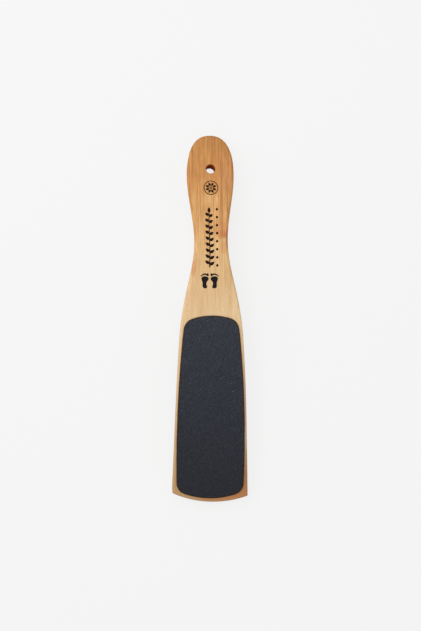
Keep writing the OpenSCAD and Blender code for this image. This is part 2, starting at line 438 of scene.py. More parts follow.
def sheet_layer(name, base, top, spread, wobble, seed, material):
    """A thin bent plate between two heights. Its cut edge stands out by spread and wanders by
    wobble."""
    sections = sheet_sections(LAYER_STEP)
    flat = loop_of(sections, [0] * len(sections))
    low, high = sorted((base, top))
    levels = [low, (low + high) / 2, high]
    rng = np.random.default_rng(seed)
    raw = rng.normal(size=(len(levels), len(flat)))
    soft = sum(np.roll(raw, k, axis=1) for k in range(-EDGE_BLUR, EDGE_BLUR + 1))
    soft = soft / math.sqrt(2 * EDGE_BLUR + 1)
    centre_u = (SHEET_TOP_U + SHEET_END_U) / 2
    half_l = (SHEET_END_U - SHEET_TOP_U) / 2
    half_w = BLADE_W / 2
    points = []
    for k, level in enumerate(levels):
        for i, (x, u, _) in enumerate(flat):
            out = spread + wobble * soft[k, i]
            points.append(bent(x + out * x / half_w, u + out * (u - centre_u) / half_l, level))
    count = len(flat)
    faces = bands(len(levels), count) + cap(0, count) + cap((len(levels) - 1) * count, count)
    return new_object(name, points, faces, [material])


# Width of the browner rim, and the shares of it between which its inner border wanders
RIM_BAND = 1.2 * MM
RIM_SHARES = (0.5, 1.0)
# Margin kept free inside the edge, and jitter, as shares of the grain size
GRAIN_MARGIN = 0.7
GRAIN_JITTER = 0.28
# Both parameters of the beta distribution of the grain's heights, and the greatest height at the
# edge, as a share of the coat
GRAIN_SPREAD = (2.2, 1.8)
EDGE_LIFT = 0.7
# The net of triangles stays inside the edge, and points closer than this are one point in it
INSIDE_ONLY = 1
NET_REACH = 1e-9


def grit_sheet(name, base, coat, grain, rough_share, seed, materials):
    """A coat of grain: a jittered net of points, each at its own height, over a smooth back.
    base is the height of its back, coat its thickness, negative on the rear face, and rough_share
    the share of it over which the heights spread."""
    sections = sheet_sections(grain)
    edge = [(x, u) for x, u, _ in loop_of(sections, [0] * len(sections))]
    rng = np.random.default_rng(seed)
    us, rights, lefts = np.array(sections).T
    inside = []
    row_step = grain * math.sqrt(3) / 2
    margin = GRAIN_MARGIN * grain
    for j, u in enumerate(np.arange(us[0] + margin, us[-1] - margin, row_step)):
        right, left = np.interp(u, us, rights) - margin, np.interp(u, us, lefts) - margin
        xs = np.arange(-left + (j % 2) * grain / 2, right, grain)
        jitter = rng.uniform(-GRAIN_JITTER, GRAIN_JITTER, size=(len(xs), 2)) * grain
        inside += [(x + dx, u + du) for x, (dx, du) in zip(xs, jitter)]
    flat = [Vector(p) for p in edge + inside]
    count = len(edge)
    ring = [(i, (i + 1) % count) for i in range(count)]
    found = geometry.delaunay_2d_cdt(flat, ring, [], INSIDE_ONLY, NET_REACH)
    net, _, triangles, origins, _, _ = found
    # The place in the net of each point of the edge
    where = {o: i for i, sources in enumerate(origins) for o in sources if o < count}
    at_edge = set(where.values())
    points = []
    for i, height in enumerate(rng.beta(*GRAIN_SPREAD, size=len(net))):
        lift = 1 - rough_share * (1 - height)
        if i in at_edge:
            lift = min(lift, EDGE_LIFT)
        points.append(bent(*net[i], base + coat * lift))
    faces = [tuple(t) for t in triangles]
    back = len(points)
    points += [bent(x, u, base) for x, u in edge]
    faces += [(where[a], where[b], back + b, back + a) for a, b in ring]
    faces += cap(back, count)
    piece = new_object(name, points, faces, materials)
    brown_the_rim(piece, [Vector(bent(x, u, base)) for x, u in edge], rng)
    return piece


def brown_the_rim(piece, edge, rng):
    """Gives the second material to the grain close to the cut edge, where the paper shows
    through."""
    tree = KDTree(len(edge))
    for i, point in enumerate(edge):
        tree.insert(point, i)
    tree.balance()
    reach = rng.uniform(*RIM_SHARES, size=len(piece.data.polygons)) * RIM_BAND
    for face, far in zip(piece.data.polygons, reach):
        if tree.find(face.center)[2] < far:
            face.material_index = 1


# Printed ornaments

INK_LIFT = 0.02 * MM
INK_SINK = 0.03 * MM
# Steps along each side of a leaf, and two powers: one moves its widest place towards its start,
# the other makes its ends blunt
LEAF_STEPS = 14
LEAF_BELLY = 0.85
LEAF_BLUNTNESS = 0.9


def catmull(points, per_span):
    """A smooth closed curve through given points."""
    made = []
    n = len(points)
    for i in range(n):
        p0, p1, p2, p3 = (np.array(points[(i + k) % n], float) for k in (-1, 0, 1, 2))
        for k in range(per_span):
            t = k / per_span
            made.append(tuple(0.5 * (2 * p1 + (p2 - p0) * t + (2 * p0 - 5 * p1 + 4 * p2 - p3) * t**2
                                     + (3 * p1 - p0 - 3 * p2 + p3) * t**3)))
    return made


def ellipse(cx, cs, rx, rs, count):
    """Points of an ellipse at (cx, cs)."""
    angles = [2 * math.pi * k / count for k in range(count)]
    return [(cx + rx * math.cos(a), cs + rs * math.sin(a)) for a in angles]


def leaf(x, s, length, width, angle):
    """A leaf that starts at (x, s) and points along an angle, in degrees from the X axis."""
    c, d = math.cos(math.radians(angle)), math.sin(math.radians(angle))
    rim = []
    for sign, steps in ((1, range(LEAF_STEPS)), (-1, range(LEAF_STEPS, 0, -1))):
        for k in steps:
            t = k / LEAF_STEPS
            w = sign * width / 2 * math.sin(math.pi * t**LEAF_BELLY) ** LEAF_BLUNTNESS
            rim.append((x + t * length * c - w * d, s + t * length * d + w * c))
    return rim


def ink_piece(name, shapes, material):
    """Thin printed shapes on the front face of the wood. A shape is one rim, or an outer and an
    inner rim with as many points each."""
    points, faces = [], []
    for shape in shapes:
        rims = shape if isinstance(shape, tuple) else (shape,)
        start, n = len(points), len(rims[0])
        layer = n * len(rims)
        for h in (HALF_T + INK_LIFT, HALF_T - INK_SINK):
            points += [bent(x, LENGTH / 2 - s, h) for rim in rims for x, s in rim]
        for top in range(start, start + layer, n):
            faces += band(top, top + layer, n)
        for level in (start, start + layer):
            faces += band(level, level + n, n) if len(rims) == 2 else cap(level, n)
    return new_object(name, points, faces, [material])


PETALS = 8
# Start, length and width of a petal, and both radii of each ring, as shares of the radius
PETAL_START = 0.25
PETAL_LENGTH = 0.55
PETAL_WIDTH = 0.32
ROSETTE_RINGS = ((0.19, 0.08), (1.0, 0.89))
RING_POINTS = 48


def rosette(cx, cs, radius):
    """Petals round a small ring, inside a thin ring."""
    shapes = []
    for k in range(PETALS):
        a = 360 / PETALS * (k + 0.5)
        ca, sa = math.cos(math.radians(a)), math.sin(math.radians(a))
        shapes.append(leaf(cx + PETAL_START * radius * ca, cs + PETAL_START * radius * sa,
                           PETAL_LENGTH * radius, PETAL_WIDTH * radius, a))
    for ring in ROSETTE_RINGS:
        shapes.append(tuple(ellipse(cx, cs, r * radius, r * radius, RING_POINTS) for r in ring))
    return shapes


# The stem's width, the share of it lost by the top, its sway to each side, and its steps
STEM_W = 0.9 * MM
STEM_TAPER = 0.45
STEM_SWAY = 0.25 * MM
STEM_STEPS = 40
LEAF_PAIRS = 9
# Place of the first pair, as a share of the distance between pairs
FIRST_PAIR = 0.35
# Length of the lowest leaves, what each pair loses, and the leaves' width, as shares of half_w
LEAF_LENGTH = 1.16
LEAF_LOSS = 0.03
LEAF_WIDTH = 0.66
# A leaf's angle from the stem, its start beside the stem's middle, how much higher the left one
# starts, and the length of the leaf at the tip
LEAF_ANGLE = 52
LEAF_OUT = 0.2 * MM
LEAF_STAGGER = 0.9 * MM
TIP_LEAF = 4.2 * MM


def sprig(cx, low, high, half_w):
    """An upright stem with pairs of leaves and one leaf at its tip."""
    run = high - low - TIP_LEAF

    def stem_x(s):
        return cx + STEM_SWAY * math.sin(2 * math.pi * (s - low) / (high - low))

    left, right = [], []
    for k in range(STEM_STEPS + 1):
        s = low + run * k / STEM_STEPS
        w = STEM_W / 2 * (1 - STEM_TAPER * k / STEM_STEPS)
        right.append((stem_x(s) + w, s))
        left.append((stem_x(s) - w, s))
    shapes = [right + left[::-1]]
    for k in range(LEAF_PAIRS):
        s = low + run * (k + FIRST_PAIR) / LEAF_PAIRS
        length = half_w * (LEAF_LENGTH - LEAF_LOSS * k)
        for sign, higher in ((1, 0), (-1, LEAF_STAGGER)):
            shapes.append(leaf(stem_x(s) + sign * LEAF_OUT, s + higher, length,
                               LEAF_WIDTH * half_w, 90 - sign * LEAF_ANGLE))
    shapes.append(leaf(stem_x(low + run), low + run, TIP_LEAF, LEAF_WIDTH * half_w, 90))
    return shapes


DOTS = 8
DOT_POINTS = 24
# In millimetres: place of the lowest dot, the step to the next, and a dot's half width and height
DOT_LOW = 37.3
DOT_STEP = 5.73
DOT_SIZE = (0.85, 0.95)


def dot_row(cx):
    """An upright row of dots."""
    places = [(DOT_LOW + DOT_STEP * k) * MM for k in range(DOTS)]
    return [ellipse(cx, s, *mm(DOT_SIZE), DOT_POINTS) for s in places]


# Points round a bare foot's sole, and each toe's middle and radius, as shares of its length
FOOT_SHARES = [(0.0, 0.0), (0.13, 0.05), (0.17, 0.2), (0.16, 0.36), (0.21, 0.52), (0.24, 0.66),
               (0.14, 0.77), (-0.06, 0.78), (-0.22, 0.7), (-0.23, 0.57), (-0.12, 0.42), (-0.09, 0.27),
               (-0.14, 0.12), (-0.1, 0.02)]
TOE_SHARES = [(-0.17, 0.885, 0.085), (-0.03, 0.925, 0.06), (0.08, 0.915, 0.053),
              (0.175, 0.875, 0.047), (0.25, 0.81, 0.042)]
SOLE_STEPS = 5
TOE_STRETCH = 1.15
TOE_POINTS = 20


def footprint(cx, low, length, mirror):
    """The print of a bare foot: a sole and five toes. mirror is 1 for a right foot's print and
    -1 for a left foot's."""
    sole = [(cx + mirror * x * length, low + y * length) for x, y in FOOT_SHARES]
    shapes = [catmull(sole, SOLE_STEPS)]
    for x, y, r in TOE_SHARES:
        shapes.append(ellipse(cx + mirror * x * length, low + y * length,
                              r * length, r * length * TOE_STRETCH, TOE_POINTS))
    return shapes


# Materials

def srgb(r, g, b):
    """A linear colour from 8-bit sRGB values."""
    return tuple(c / 12.92 if c <= 0.04045 else ((c + 0.055) / 1.055) ** 2.4
                 for c in (r / 255, g / 255, b / 255)) + (1.0,)


class Graph:
    """Short calls for building the nodes of a material or of the world."""

    def __init__(self, owner):
        self.owner = owner
        owner.use_nodes = True
        self.tree = owner.node_tree
        self.tree.nodes.clear()

    def add(self, kind, inputs=(), **settings):
        node = self.tree.nodes.new(kind)
        for key, value in settings.items():
            setattr(node, key, value)
        for key, value in dict(inputs).items():
            if isinstance(value, bpy.types.NodeSocket):
                self.tree.links.new(value, node.inputs[key])
            else:
                node.inputs[key].default_value = value
        return node

    def math(self, operation, a, b=0.0):
        return self.add("ShaderNodeMath", {0: a, 1: b}, operation=operation).outputs[0]

    def mix(self, factor, a, b, blend="MIX"):
        node = self.add("ShaderNodeMix", {0: factor, 6: a, 7: b}, data_type="RGBA",
                        blend_type=blend)
        return node.outputs[2]

    def scaled(self, vector, sizes):
        """A vector divided by feature sizes, in millimetres, along its three axes."""
        scale = tuple(1 / size for size in mm(sizes))
        return self.add("ShaderNodeMapping", {0: vector, 3: scale}).outputs[0]

    def noise(self, vector, sizes, detail=2.0, roughness=0.5, distortion=0.0):
        """Noise with features of about three sizes, in millimetres, along the vector's axes."""
        inputs = {"Vector": self.scaled(vector, sizes), "Scale": 1.0, "Detail": detail,
                  "Roughness": roughness, "Distortion": distortion}
        return self.add("ShaderNodeTexNoise", inputs).outputs[0]

    def cells(self, vector, sizes):
        """Cells of about three sizes, in millimetres, along the vector's axes: the distance from
        the nearest cell's middle, and that cell's three random numbers."""
        inputs = {"Vector": self.scaled(vector, sizes), "Scale": 1.0}
        pattern = self.add("ShaderNodeTexVoronoi", inputs, feature="F1")
        numbers = self.add("ShaderNodeSeparateColor", {0: pattern.outputs["Color"]}).outputs
        return pattern.outputs["Distance"], numbers

    def steps(self, value, reach):
        """0 below a reach of values, 1 above it, smooth between."""
        low, high = reach
        node = self.add("ShaderNodeMapRange", {0: value, 1: low, 2: high, 3: 0.0, 4: 1.0},
                        interpolation_type="SMOOTHSTEP")
        return node.outputs[0]

    def even(self, value, reach, ends):
        """Goes evenly between two ends while a value goes through a reach."""
        inputs = {0: value, 1: reach[0], 2: reach[1], 3: ends[0], 4: ends[1]}
        return self.add("ShaderNodeMapRange", inputs).outputs[0]

    def tinted(self, colour, share, noise, tints):
        """A colour multiplied, by a share, by the tint that a noise picks."""
        return self.mix(share, colour, self.ramp(noise, tints), "MULTIPLY")

    def product(self, first, *others):
        """The values multiplied."""
        for value in others:
            first = self.math("MULTIPLY", first, value)
        return first

    def centred(self, noise, reach):
        """A noise about 0, multiplied by a reach."""
        return self.product(self.math("SUBTRACT", noise, 0.5), reach)

    def ramp(self, value, stops):
        """A colour for a value, from (place, colour) stops."""
        node = self.add("ShaderNodeValToRGB", {0: value})
        band = node.color_ramp.elements
        while len(band) < len(stops):
            band.new(1.0)
        for element, (place, colour) in zip(band, stops):
            element.position = place
            element.color = colour
        return node.outputs[0]

    def bump(self, height, distance, strength, normal=None):
        inputs = {"Strength": strength, "Distance": distance, "Height": height}
        if normal is not None:
            inputs["Normal"] = normal
        return self.add("ShaderNodeBump", inputs).outputs[0]

    def finish(self, **inputs):
        """The material, with a principled shader. Spaces in its inputs' names are written as _."""
        inputs = {name.replace("_", " "): value for name, value in inputs.items()}
        shader = self.add("ShaderNodeBsdfPrincipled", inputs)
        self.add("ShaderNodeOutputMaterial", {0: shader.outputs[0]})
        return self.owner

    def paddle_place(self):
        """(x, s, h) on the paddle as one vector, and as three values."""
        place = self.add("ShaderNodeTexCoord").outputs["Object"]
        raised = self.add("ShaderNodeVectorMath", {0: place, 1: (0, 0, -CENTRE_Z)}).outputs[0]
        x, y, z = self.add("ShaderNodeSeparateXYZ", {0: raised}).outputs
        s = self.product(self.math("ARCTAN2", y, z), BOW_RADIUS)
        reach = self.math("SQRT", self.math("ADD", self.product(y, y), self.product(z, z)))
        h = self.math("SUBTRACT", reach, BOW_RADIUS)
        joined = self.add("ShaderNodeCombineXYZ", {0: x, 1: s, 2: h}).outputs[0]
        return joined, x, s, h

    def spot(self, x, s, cx, cs, rx, rs, ragged):
        """1 at the middle of a soft oval on the paddle, 0 outside it. ragged, a noise about 0,
        frays its rim."""
        dx = self.math("DIVIDE", self.math("SUBTRACT", x, cx), rx)
        ds = self.math("DIVIDE", self.math("SUBTRACT", s, cs), rs)
        far = self.math("ADD", self.product(dx, dx), self.product(ds, ds))
        far = self.math("ADD", far, ragged)
        return self.math("SUBTRACT", 1.0, self.steps(far, (0.0, 1.0)))


def share_along(g, s):
    """Share of the paddle's length from the tip of its head."""
    return g.math("DIVIDE", g.math("SUBTRACT", LENGTH / 2, s), LENGTH)


# Tone of the wood along the paddle, partly its own and partly painted light and shade: palest
# about half way along and darker towards both ends, which the bowed paddle turns away from
# the light. Places are shares of its length from the head
WOOD_TONES_AND_SHADE = [
    (0.0, srgb(182, 123, 56)), (0.12, srgb(198, 135, 67)), (0.2, srgb(209, 154, 88)),
    (0.28, srgb(217, 167, 105)), (0.32, srgb(225, 182, 123)), (0.37, srgb(223, 182, 127)),
    (0.43, srgb(226, 189, 140)), (0.5, srgb(233, 200, 153)), (0.62, srgb(222, 188, 144)),
    (0.85, srgb(205, 168, 124)), (1.0, srgb(200, 158, 108)),
]
# Tone of the blade's right margin: pinkish brown, paler for a short way, then orange brown
RIGHT_MARGIN_TONES = [
    (0.62, srgb(212, 178, 138)), (0.7, srgb(196, 156, 130)), (0.79, srgb(204, 154, 128)),
    (0.84, srgb(216, 184, 154)), (0.88, srgb(176, 138, 92)), (0.93, srgb(166, 108, 54)),
]
ORANGE_BROWN = srgb(190, 125, 74)
HEART_BROWN = srgb(196, 103, 38)
KNOT_RED = srgb(158, 68, 28)
PALE_WOOD = srgb(236, 190, 134)
# Painted light for one patch on the right of the handle near the head
PAINTED_LIGHT_WOOD = srgb(234, 166, 104)
FLECK_BROWN = srgb(140, 84, 44)
PORE_BROWN = srgb(150, 94, 50)
END_GRAIN = srgb(196, 138, 84)
# Brown of the hole's wall: partly the drill's scorch, partly painted shade of the narrow hole
SCORCH_AND_SHADE_BROWN = srgb(168, 82, 32)
LEFT_MARGIN_TINT = (0.95, 0.95, 0.89, 1)
# Sanded wood is paler than lacquered, and the tint also lightens the sides and edges, which face away
# from the light, as painted light
SANDED_AND_LIFTED_TINT = (1.06, 1.07, 1.19, 1)
# Tints that the noises pick, which multiply the colour
LINE_TINTS = [(0.3, (0.66, 0.565, 0.42, 1)), (0.5, (1.0, 1.0, 1.0, 1)), (0.7, (1.19, 1.25, 1.38, 1))]
CLOUD_TINTS = [(0.3, (0.83, 0.78, 0.67, 1)), (0.7, (1.15, 1.19, 1.29, 1))]
FIBRE_TINTS = [(0.3, (0.84, 0.79, 0.73, 1)), (0.6, (1.06, 1.06, 1.06, 1))]
HUE_TINTS = [(0.38, (1.015, 0.99, 0.96, 1)), (0.62, (0.99, 1.015, 1.04, 1))]
RING_TINTS = [(0.36, (0.72, 0.66, 0.6, 1)), (0.5, (1.0, 1.0, 1.0, 1)), (0.64, (1.14, 1.17, 1.2, 1))]
# Sizes of the noises in millimetres, across the board, along it and through it
DRIFT_SIZE = (9, 60, 9)
STREAK_SIZE = (0.9, 9, 1.2)
LINE_SIZE = (1.3, 80, 1.4)
CLOUD_SIZE = (2.2, 16, 2.6)
FIBRE_SIZE = (0.45, 22, 0.5)
HUE_SIZE = (2.0, 45, 2.4)
FLECK_SIZE = (0.55, 4.2, 0.7)
PORE_SIZE = (0.22, 0.22, 0.22)
RING_SIZE = (13, 60, 1.5)
WAVE_SIZE = (14, 30, 14)
WEAR_SIZE = (6, 18, 6)
# How far the tones drift along the board, and how much the streaks fray a patch
DRIFT_REACH = 0.1
FRAY = 1.6
# Heights in millimetres between which the front face's patches and margins fade on the sides,
# and how far the streaks move these
FRONT_FADE = (0, 3.5)
FADE_WANDER = 3
# The grain is bold on the handle and faint on the blade, in shares of the length and strengths
BOLD_REACH = (0.2, 0.5)
BOLD_ENDS = (1.0, 0.22)
RICH_REACH = (0.36, 0.5)
RICH_ENDS = (1.0, 0.18)
FIBRE_SHARE = 0.7
# Where the margins' tones set in: millimetres across the board, or shares of its length
RIGHT_MARGIN_X = (12, 22)
RIGHT_MARGIN_START = (0.62, 0.7)
RIGHT_SIDE_START = (0.86, 0.94)
END_RIM_X = (-16, 2)
END_RIM_START = (0.955, 0.985)
LEFT_MARGIN_X = (-23, -17)
LEFT_MARGIN_START = (0.68, 0.8)
MARGIN_SHARE = 0.75
# Patches of other tones, the wood's own but for one of painted light: x and s of the middle and
# both radii in millimetres, strength, colour
PATCHES_OF_TONE_AND_LIGHT = [
    (7.5, 64, 8, 9, 0.38, HEART_BROWN), (8.5, 59.6, 7, 3.8, 0.45, HEART_BROWN),
    (9.6, 58.3, 2.2, 3, 0.4, KNOT_RED), (11.7, 56.8, 1.7, 10, 0.8, KNOT_RED),
    (9.5, 78, 5, 10, 0.12, HEART_BROWN), (8.5, 50, 3.5, 6, 0.3, HEART_BROWN),
    (-15, 10, 5, 14, 0.09, HEART_BROWN), (-11.6, 60, 1.8, 9, 0.3, HEART_BROWN),
    (-12.8, 36, 2.2, 8, 0.5, HEART_BROWN), (2.5, 107, 5, 16, 0.15, HEART_BROWN),
    # The last patch on the next line is painted light: it lightens the right of the handle near the
    # head, which the light from the left leaves darker
    (0, 84.5, 7, 5, 0.3, PALE_WOOD), (11, 101, 6.5, 20, 0.32, PAINTED_LIGHT_WOOD),
]


def patched_with_tone_and_light(g, colour, x, s, ragged, front):
    """The colour with its patches, which fade below the front face: tones of the wood's own, and
    one of painted light.
    """
    for cx, cs, rx, rs, strength, patch_colour in PATCHES_OF_TONE_AND_LIGHT:
        patch = g.spot(x, s, *mm((cx, cs, rx, rs)), ragged)
        # One of the patches is painted light on the right of the handle near the head
        colour = g.mix(g.product(patch, front, strength), colour, patch_colour)
    return colour


def grained(g, colour, place, along):
    """The colour with growth lines, clouds, fibres and shifts of hue, then the lines and the
    fibres."""
    bold = g.even(along, BOLD_REACH, BOLD_ENDS)
    rich = g.even(along, RICH_REACH, RICH_ENDS)
    lines = g.noise(place, LINE_SIZE, detail=3.0, roughness=0.6, distortion=0.3)
    cloud = g.noise(place, CLOUD_SIZE, detail=3.0, roughness=0.65)
    fibres = g.noise(place, FIBRE_SIZE, detail=4.0, roughness=0.65)
    hue = g.noise(place, HUE_SIZE, roughness=0.65, distortion=0.2)
    colour = g.tinted(colour, bold, lines, LINE_TINTS)
    colour = g.tinted(colour, bold, cloud, CLOUD_TINTS)
    colour = g.tinted(colour, FIBRE_SHARE, fibres, FIBRE_TINTS)
    colour = g.tinted(colour, rich, hue, HUE_TINTS)
    return colour, lines, fibres


def margined(g, colour, x, along, front):
    """The colour with the blade's margins: the right one, which goes over onto the side near the
    end, the rim of the end, and the slightly darker left one."""
    right = g.product(g.steps(x, mm(RIGHT_MARGIN_X)), g.steps(along, RIGHT_MARGIN_START))
    right = g.product(right, g.math("MAXIMUM", front, g.steps(along, RIGHT_SIDE_START)))
    colour = g.mix(g.product(right, MARGIN_SHARE), colour, g.ramp(along, RIGHT_MARGIN_TONES))
    rim = g.product(g.steps(along, END_RIM_START), g.steps(x, mm(END_RIM_X)))
    colour = g.mix(g.product(rim, MARGIN_SHARE), colour, ORANGE_BROWN)
    left = g.math("SUBTRACT", 1.0, g.steps(x, mm(LEFT_MARGIN_X)))
    left = g.product(left, front, g.steps(along, LEFT_MARGIN_START))
    return g.mix(left, colour, LEFT_MARGIN_TINT, "MULTIPLY")


# A fleck ends between two distances from its cell's middle, and a share of the cells is bare
FLECK_REACH = (0.1, 0.24)
FLECK_BARE = 0.45
FLECK_SHARE = 0.42
# End grain sets in between two cosines of the angle from a face's normal to the board's length
END_FACE_REACH = (0.45, 0.85)
PORE_REACH = (0.4, 0.6)
END_SHARE = 0.6


def wood_flecks(g, place):
    """1 in the short dark flecks and pores that run with the grain."""
    distance, numbers = g.cells(place, FLECK_SIZE)
    near = g.math("SUBTRACT", 1.0, g.steps(distance, FLECK_REACH))
    return g.product(near, g.math("GREATER_THAN", numbers[0], FLECK_BARE))


def end_grained(g, colour, place):
    """The colour with pores and growth rings where the fibres are cut across."""
    normal = g.add("ShaderNodeNewGeometry").outputs["Normal"]
    lengthwise = g.add("ShaderNodeSeparateXYZ", {0: normal}).outputs[1]
    end_face = g.steps(g.math("ABSOLUTE", lengthwise), END_FACE_REACH)
    pores = g.noise(place, PORE_SIZE)
    tone = g.mix(g.steps(pores, PORE_REACH), PORE_BROWN, END_GRAIN)
    rings = g.noise(place, RING_SIZE, detail=3.0, roughness=0.6, distortion=0.3)
    tone = g.tinted(tone, 1.0, rings, RING_TINTS)
    return g.mix(g.product(end_face, END_SHARE), colour, tone)


# Parts of fibres, lines and flecks in the fine relief
FIBRE_RELIEF = 0.6
LINE_RELIEF = 0.5
FLECK_RELIEF = 0.7
# Depth and strength of the fine relief and of the long waves
WOOD_RELIEF = (0.035 * MM, 0.8)
WAVE_RELIEF = (0.25 * MM, 0.6)
WEAR_REACH = (0.3, 0.7)
LACQUER_ROUGHNESS = (0.36, 0.5)
SCORCH_AND_SHADE_SHARE = 0.7


def wood_relief(g, place, lines, fibres, flecks):
    """The normal over the wood's fine relief and its long, low waves."""
    raised = g.math("ADD", g.product(fibres, FIBRE_RELIEF), g.product(lines, LINE_RELIEF))
    height = g.math("SUBTRACT", raised, g.product(flecks, FLECK_RELIEF))
    waves = g.noise(place, WAVE_SIZE, detail=1.0)
    return g.bump(waves, *WAVE_RELIEF, g.bump(height, *WOOD_RELIEF))


def wood_material(finish):
    """Hardwood with straight grain. The finish is lacquered, or sanded on the sides, which are paler
    partly as bare wood is and partly by painted light, or drilled in the hole, where the wood is
    matt and browned partly by the drill and partly by painted shade."""
    g = Graph(bpy.data.materials.new(finish + "_wood"))
    place, x, s, h = g.paddle_place()
    drift = g.noise(place, DRIFT_SIZE, detail=1.0)
    along = g.math("ADD", share_along(g, s), g.centred(drift, DRIFT_REACH))
    streaks = g.noise(place, STREAK_SIZE, detail=3.0, roughness=0.6)
    ragged = g.centred(streaks, FRAY)
    front = g.steps(g.math("ADD", h, g.product(ragged, FADE_WANDER * MM)), mm(FRONT_FADE))
    # The tone along the paddle is partly painted light and shade: darker towards both ends
    colour = patched_with_tone_and_light(g, g.ramp(along, WOOD_TONES_AND_SHADE), x, s, ragged, front)
    colour, lines, fibres = grained(g, colour, place, along)
    colour = margined(g, colour, x, along, front)
    flecks = wood_flecks(g, place)
    colour = g.mix(g.product(flecks, FLECK_SHARE), colour, FLECK_BROWN)
    colour = end_grained(g, colour, place)
    normal = wood_relief(g, place, lines, fibres, flecks)
    if finish == "drilled":
        # The hole's wall is browned partly by scorch and partly by painted shade
        colour = g.mix(SCORCH_AND_SHADE_SHARE, colour, SCORCH_AND_SHADE_BROWN)
        return g.finish(Base_Color=colour, Roughness=0.9, Normal=normal, Specular_IOR_Level=0.0)
    if finish == "sanded":
        # Paler as bare sanded wood is, and partly painted light on the sides and edges
        colour = g.mix(1.0, colour, SANDED_AND_LIFTED_TINT, "MULTIPLY")
        return g.finish(Base_Color=colour, Roughness=0.8, Normal=normal, Specular_IOR_Level=0.1)
    wear = g.noise(place, WEAR_SIZE, detail=3.0)
    return g.finish(Base_Color=colour, Roughness=g.even(wear, WEAR_REACH, LACQUER_ROUGHNESS),
                    Normal=normal, Specular_IOR_Level=0.35, Coat_Weight=0.1, Coat_Roughness=0.35)


GLINT = srgb(92, 96, 106)
RIM_DARK = srgb(29, 17, 8)
RIM_LIGHT = srgb(68, 49, 31)
# Shares of bright facets, painted glints, in a coat and in its rim
GLINT_SHARE = 0.005
RIM_GLINT_SHARE = 0.003
GRIT_PATCH_SIZE = (2.2, 3.2, 9)
GRIT_PATCH_TINTS = [(0.3, (0.95, 0.93, 0.90, 1)), (0.7, (1.05, 1.07, 1.10, 1))]
# Painted light and shade along the paddle, by shares of its length: the coat is lighter at the
# sheet's top and darker towards the blade's end, which the bowed paddle turns away from the light
GRIT_LIGHT_AND_SHADE_TINTS = [(0.5, (1.14, 1.13, 1.15, 1)), (0.75, (0.89, 0.89, 0.88, 1)),
                     (1.0, (0.56, 0.57, 0.56, 1))]
GRIT_FINE_SIZE = (0.12, 0.12, 0.12)
GRIT_ROUGHNESS = (0.5, 0.8)
GRIT_RELIEF = (0.05 * MM, 0.4)


def grit_material(name, dark, light, cell, glint_share):
    """Bonded abrasive grain: facets, cell millimetres wide, of many tones between a dark and a
    light one in a matt resin, a share of bright ones that are painted glints, and painted light
    and shade along the paddle."""
    g = Graph(bpy.data.materials.new(name))
    place, _, s, _ = g.paddle_place()
    distance, numbers = g.cells(place, (cell, cell, cell))
    colour = g.mix(numbers[0], dark, light)
    # Painted glints: a small share of the facets takes a bright colour
    colour = g.mix(g.math("GREATER_THAN", numbers[1], 1 - glint_share), colour, GLINT)
    patches = g.noise(place, GRIT_PATCH_SIZE, detail=4.0, roughness=0.7)
    colour = g.tinted(colour, 1.0, patches, GRIT_PATCH_TINTS)
    # Painted light and shade: lighter at the sheet's top, darker towards the blade's end
    colour = g.tinted(colour, 1.0, share_along(g, s), GRIT_LIGHT_AND_SHADE_TINTS)
    roughness = g.even(numbers[2], (0.0, 1.0), GRIT_ROUGHNESS)
    fine = g.noise(place, GRIT_FINE_SIZE)
    normal = g.bump(g.math("ADD", distance, fine), *GRIT_RELIEF)
    return g.finish(Base_Color=colour, Roughness=roughness, Normal=normal, Specular_IOR_Level=0.2)


def grit_materials(name, dark, light, cell):
    """The materials of a coat of grain and of its browner rim."""
    return [grit_material(name, dark, light, cell, GLINT_SHARE),
            grit_material(name + "_rim", RIM_DARK, RIM_LIGHT, cell, RIM_GLINT_SHARE)]


def mottled_material(name, noise, reach, tones, relief, **shader):
    """A mix of two tones by a noise, which is the relief as well. noise gives its sizes in
    millimetres, detail and roughness, and relief its depth and strength."""
    g = Graph(bpy.data.materials.new(name))
    place = g.paddle_place()[0]
    value = g.noise(place, *noise)
    colour = g.mix(g.steps(value, reach), *tones)
    return g.finish(Base_Color=colour, Normal=g.bump(value, *relief), **shader)


def backing_material():
    """Heavy dark brown abrasive paper, fibrous where it is cut."""
    return mottled_material("abrasive_paper", noise=((0.5, 0.5, 0.05), 3.0, 0.5),
                            reach=(0.35, 0.65), tones=(srgb(34, 22, 16), srgb(62, 42, 30)),
                            relief=(0.03 * MM, 0.6), Roughness=0.8, Specular_IOR_Level=0.35)


def adhesive_material():
    """Clear yellowish film that has picked up dust along its edge."""
    return mottled_material("adhesive_film", noise=((0.8, 0.8, 0.3), 3.0, 0.5),
                            reach=(0.4, 0.65), tones=(srgb(120, 88, 56), srgb(86, 62, 42)),
                            relief=(0.02 * MM, 0.4), Roughness=0.4, Specular_IOR_Level=0.45)


def ink_material(name, dark, light):
    """Pad-printed ink: nearly solid, a little thinner along the grain."""
    return mottled_material(name, noise=((0.35, 5, 1), 4.0, 0.7), reach=(0.5, 0.75),
                            tones=(dark, light), relief=(0.02 * MM, 0.5), Roughness=0.75,
                            Specular_IOR_Level=0.1)


# Stage

# Level of the floor's paint and of the backdrop, the share of it in the paint's duller patches,
# and their size in millimetres
FLOOR_LEVEL = 0.93
FLOOR_DULLED = 0.995
FLOOR_PATCHES = (400, 400, 400)
FLOOR_HALF = 4.0
# Share of the floor that glows for the camera near the object, and distances from the object
# between which that share rises to all
FLOOR_GLOW = 0.87
FAR_REACH = (0.4, 2.5)
# The even light, and the softbox that adds to it
WORLD_LEVEL = 0.48
KEY_PLACE = (-0.45, 0.45, 0.85)
KEY_SIZE = 1.3
KEY_POWER = 9


